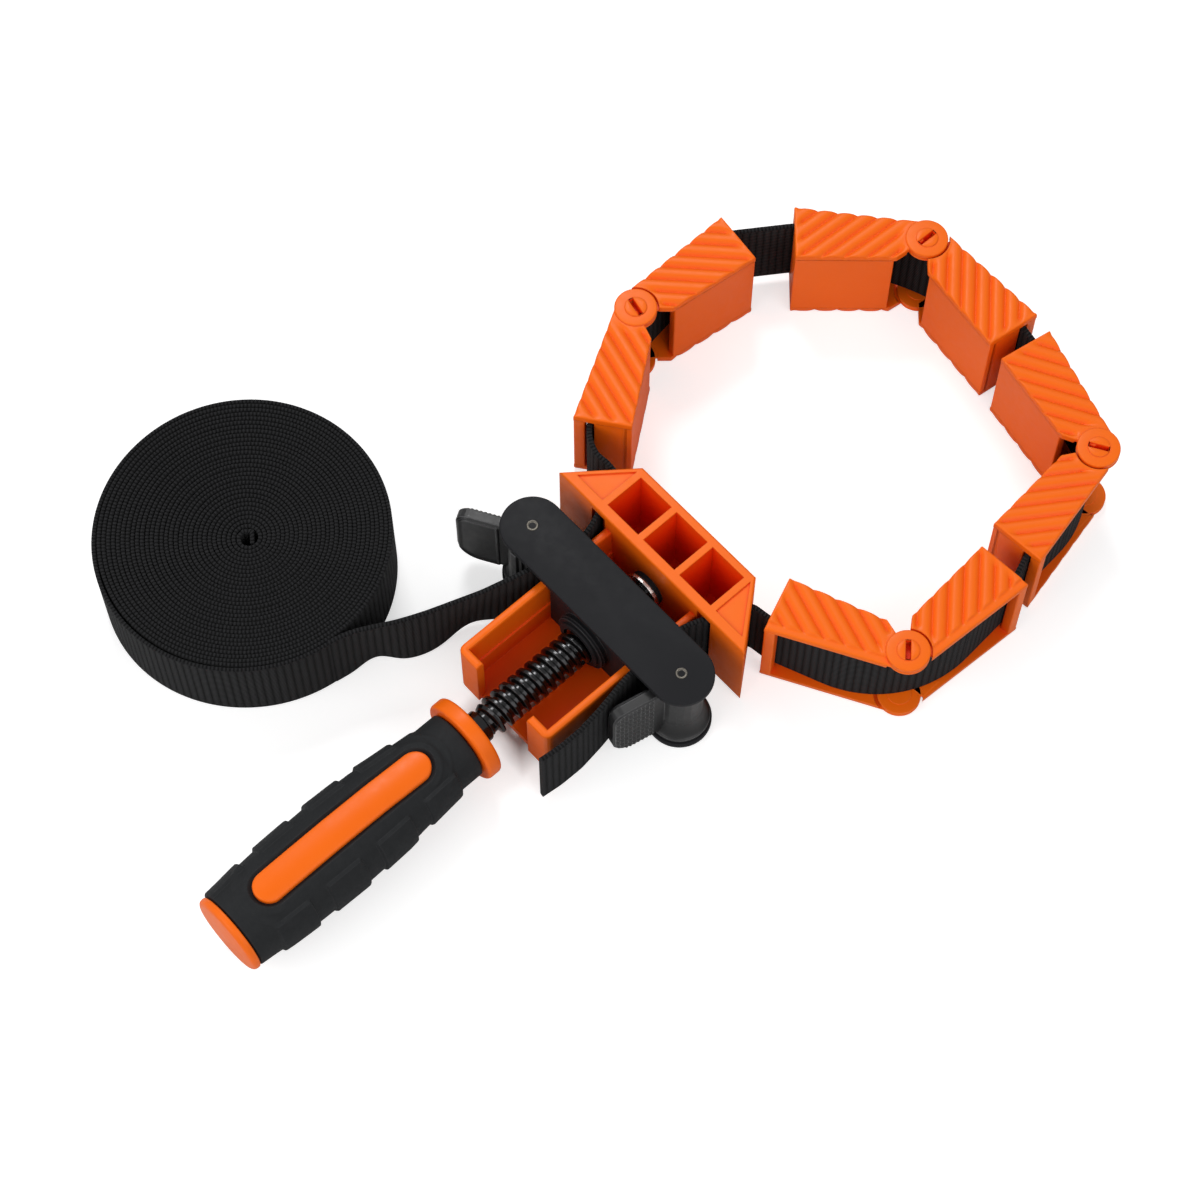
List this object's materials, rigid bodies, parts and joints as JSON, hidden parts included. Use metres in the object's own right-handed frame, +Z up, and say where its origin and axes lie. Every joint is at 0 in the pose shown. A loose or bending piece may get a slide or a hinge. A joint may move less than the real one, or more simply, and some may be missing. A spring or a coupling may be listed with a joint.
{
  "type": "band clamp",
  "caption": "Band clamp: hinged corner jaws on a strap loop, a fixed jaw with a channel, a carriage with cam levers drawn by a handle screw, and the spare strap in a coil.",
  "frame": {"origin": "on the table plane under the middle of the fixed jaw's back wall", "axes": "+Z up from the table, +Y from the handle along the screw towards the work loop, +X to the right seen from above with the loop away from the viewer"},
  "size_m": [0.1932, 0.2773, 0.0307],
  "materials": {
    "orange_plastic": "satin orange moulded plastic",
    "black_plastic": "satin black moulded plastic",
    "grip_rubber": "soft black rubber with a fine matt grain",
    "bright_steel": "bright plated steel",
    "black_steel": "black oiled steel with a soft shine",
    "webbing": "black ribbed woven strap"
  },
  "bodies": {
    "frame": {"body_frame": "orange_plastic", "thrust_washer": "bright_steel", "thrust_collar": "black_plastic", "strap_tail": "webbing", "strap_coil": "webbing"},
    "screw_handle": {"screw": "black_steel", "retaining_clip": "bright_steel", "handle_core": "orange_plastic", "handle_grip": "grip_rubber", "handle_cap": "orange_plastic"},
    "carriage": {"carriage_top_plate": "black_plastic", "carriage_bottom_plate": "black_plastic", "nut_block": "black_plastic", "left_rivet": "black_steel", "right_rivet": "black_steel", "strap_end": "webbing", "strap_run_right": "webbing"},
    "right_cam": {"right_cam_lever": "black_plastic"},
    "left_cam": {"left_cam_lever": "black_plastic"},
    "jaw_1a": {"jaw_1a": "orange_plastic", "strap_gap_1": "webbing"},
    "jaw_1b": {"jaw_1b": "orange_plastic", "strap_bend_1": "webbing", "strap_gap_2": "webbing"},
    "jaw_2a": {"jaw_2a": "orange_plastic"},
    "jaw_2b": {"jaw_2b": "orange_plastic", "strap_bend_2": "webbing", "strap_gap_3": "webbing"},
    "jaw_3a": {"jaw_3a": "orange_plastic"},
    "jaw_3b": {"jaw_3b": "orange_plastic", "strap_bend_3": "webbing", "strap_gap_4": "webbing"},
    "jaw_4a": {"jaw_4a": "orange_plastic", "strap_gap_5": "webbing", "strap_bend_4": "webbing"},
    "jaw_4b": {"jaw_4b": "orange_plastic"}
  },
  "joints": [
    {"name": "screw_turn", "type": "hinge", "parent": "frame", "child": "screw_handle", "pos_m": [0, -0.03, 0.015], "axis": [0, 1, 0], "range_deg": [-481, 2161]},
    {"name": "carriage_slide", "type": "slide", "parent": "frame", "child": "carriage", "axis": [0, -1, 0], "range_m": [-0.004, 0.018], "deforming": ["strap_run_right", "strap_tail"]},
    {"name": "right_cam_turn", "type": "hinge", "parent": "carriage", "child": "right_cam", "pos_m": [0.029, -0.01735, 0.015], "axis": [0, 0, 1], "range_deg": [0, 75]},
    {"name": "left_cam_turn", "type": "hinge", "parent": "carriage", "child": "left_cam", "pos_m": [-0.029, -0.01735, 0.015], "axis": [0, 0, 1], "range_deg": [-4, 71]},
    {"name": "strap_flex_1", "type": "hinge", "parent": "frame", "child": "jaw_1a", "pos_m": [-0.03433, 0.01292, 0.015], "axis": [0, 0, 1], "range_deg": [-6.02, 6.02], "deforming": ["strap_gap_1"]},
    {"name": "pin_1_fold", "type": "hinge", "parent": "jaw_1a", "child": "jaw_1b", "pos_m": [-0.05951, 0.04795, 0.015], "axis": [0, 0, 1], "range_deg": [-18, 18], "deforming": ["strap_bend_1"]},
    {"name": "strap_flex_2", "type": "hinge", "parent": "jaw_1b", "child": "jaw_2a", "pos_m": [-0.05555, 0.09229, 0.015], "axis": [0, 0, 1], "range_deg": [-18.69, 18.69], "deforming": ["strap_gap_2"]},
    {"name": "pin_2_fold", "type": "hinge", "parent": "jaw_2a", "child": "jaw_2b", "pos_m": [-0.0214, 0.12259, 0.015], "axis": [0, 0, 1], "range_deg": [-8.92, 8.92], "deforming": ["strap_bend_2"]},
    {"name": "strap_flex_5", "type": "hinge", "parent": "frame", "child": "jaw_4a", "pos_m": [0.02938, 0.01106, 0.015], "axis": [0, 0, 1], "range_deg": [-8.18, 8.18], "deforming": ["strap_gap_5"]},
    {"name": "pin_4_fold", "type": "hinge", "parent": "jaw_4a", "child": "jaw_4b", "pos_m": [0.06414, 0.03057, 0.015], "axis": [0, 0, 1], "range_deg": [-18.37, 18.37], "deforming": ["strap_bend_4"]},
    {"name": "strap_flex_4", "type": "hinge", "parent": "jaw_4b", "child": "jaw_3b", "pos_m": [0.06606, 0.07096, 0.015], "axis": [0, 0, 1], "range_deg": [-19.76, 19.76], "deforming": ["strap_gap_4"]},
    {"name": "pin_3_fold", "type": "hinge", "parent": "jaw_3b", "child": "jaw_3a", "pos_m": [0.0561, 0.11044, 0.015], "axis": [0, 0, 1], "range_deg": [-7.21, 7.21], "deforming": ["strap_bend_3"]}
  ],
  "couplings": [
    {"joint": "screw_turn", "follows": "carriage_slide", "rad_per_m": 2094.4},
    {"joint": "strap_flex_1", "follows": "pin_1_fold", "ratio": -0.3231},
    {"joint": "strap_flex_2", "follows": "pin_1_fold", "ratio": -1.0272},
    {"joint": "pin_2_fold", "follows": "pin_1_fold", "ratio": 0.4843},
    {"joint": "strap_flex_5", "follows": "pin_1_fold", "ratio": 0.4436},
    {"joint": "pin_4_fold", "follows": "pin_1_fold", "ratio": -1.0096},
    {"joint": "strap_flex_4", "follows": "pin_1_fold", "ratio": 1.0865},
    {"joint": "pin_3_fold", "follows": "pin_1_fold", "ratio": -0.3894}
  ]
}
